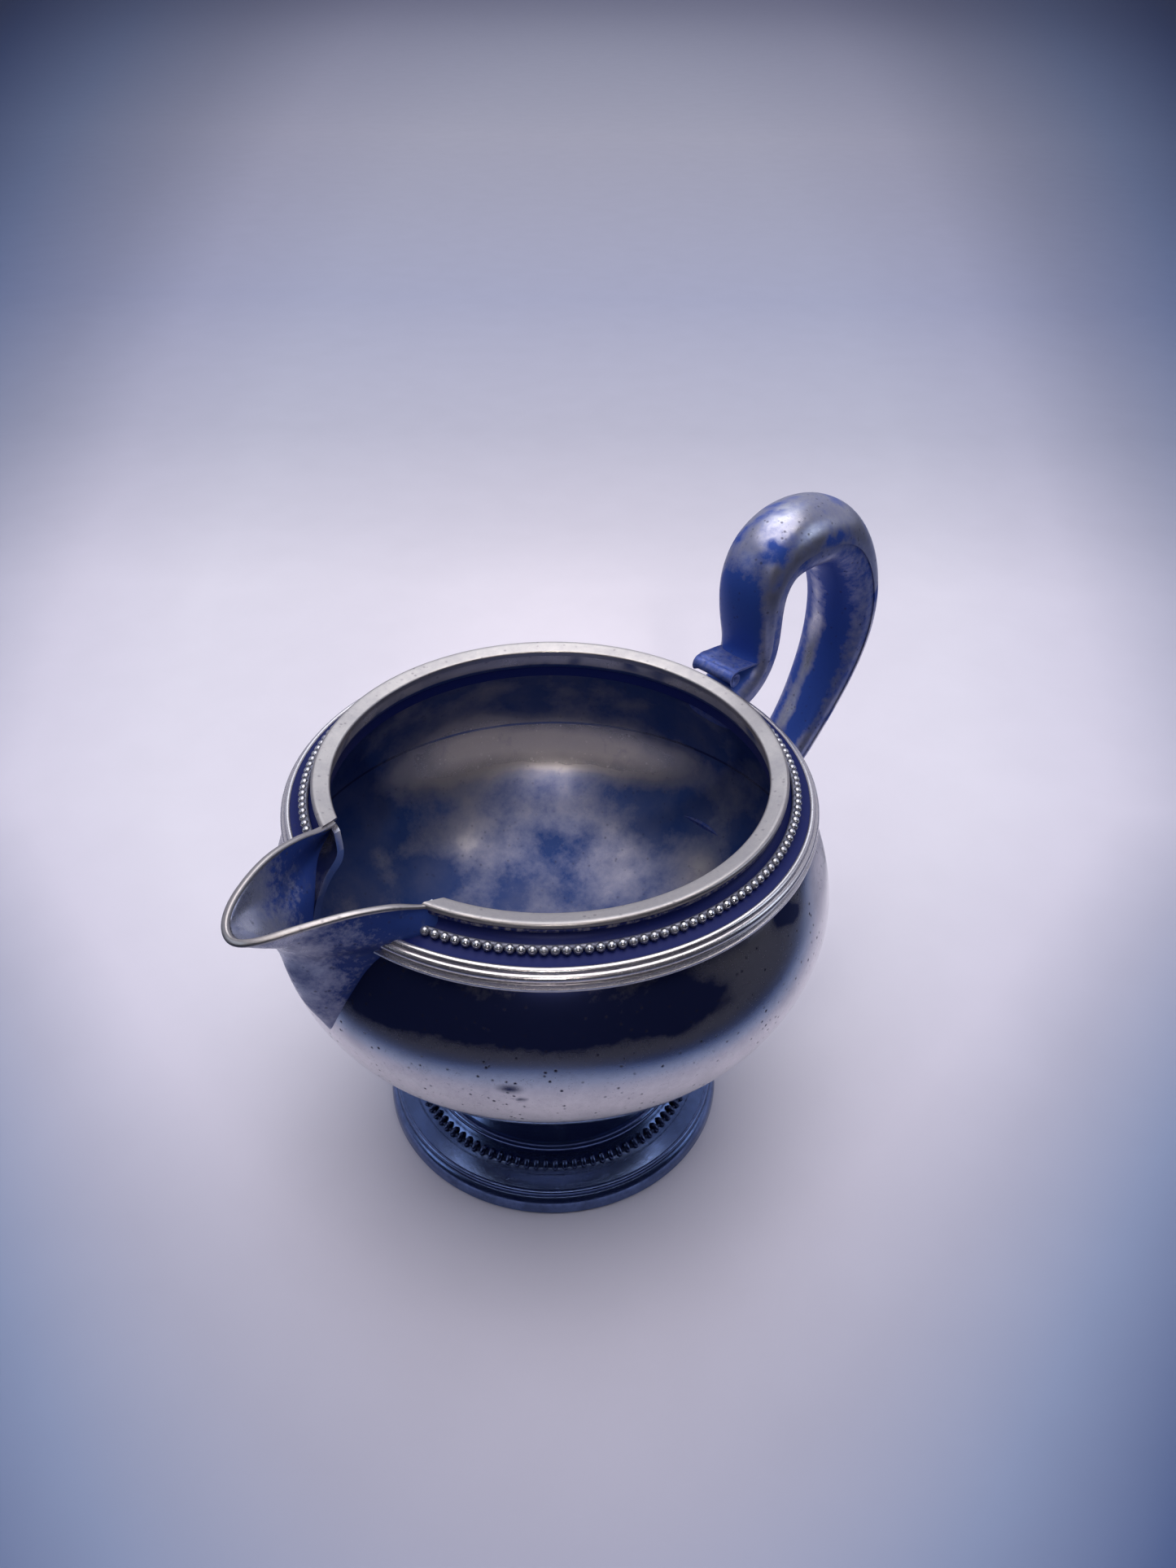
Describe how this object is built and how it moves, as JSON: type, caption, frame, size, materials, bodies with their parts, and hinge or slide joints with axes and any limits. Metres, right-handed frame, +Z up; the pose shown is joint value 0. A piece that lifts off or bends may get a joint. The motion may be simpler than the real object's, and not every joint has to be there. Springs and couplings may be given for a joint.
{
  "type": "cream jug",
  "caption": "Small silver cream jug on a pedestal foot: round bowl, beaded and reeded neck, soldered pouring lip and a hollow loop handle rising above the rim.",
  "frame": {"origin": "centre of the foot ring on the plane the jug stands on", "axes": "+Z up; the handle points along +X and the spout along -X; the jug is the same each side of the XZ plane"},
  "size_m": [0.1368, 0.0888, 0.0965],
  "materials": {
    "bowl_silver": "raised silver plate, aged, dark inside with worn bright patches",
    "rim_silver": "worn pale wire with fine brushing along it",
    "moulding_silver": "polished ribs with dark grooves",
    "bead_silver": "bright bead tops, dark tarnish between the beads",
    "spout_silver": "thin sheet, stained inside",
    "handle_silver": "smooth, fine pitting and handling wear",
    "foot_silver": "dark tarnish in the hollows, bright on the edges"
  },
  "bodies": {
    "root": {"bowl": "bowl_silver", "rim_wire": "rim_silver", "neck_fillet_wire": "moulding_silver", "neck_band": "moulding_silver", "neck_beaded_wire": "bead_silver", "shoulder_reeded_wire": "moulding_silver", "spout": "spout_silver", "spout_edge_wire": "rim_silver", "handle_outer_shell": "handle_silver", "handle_inner_shell": "handle_silver", "handle_upper_socket": "handle_silver", "handle_lower_pad": "handle_silver", "handle_scroll_tab": "handle_silver", "foot_stem": "foot_silver", "foot_collar_wire": "foot_silver", "foot_dome": "foot_silver", "foot_beaded_wire": "bead_silver", "foot_step_wire": "foot_silver", "foot_base_ring": "foot_silver"}
  },
  "joints": []
}
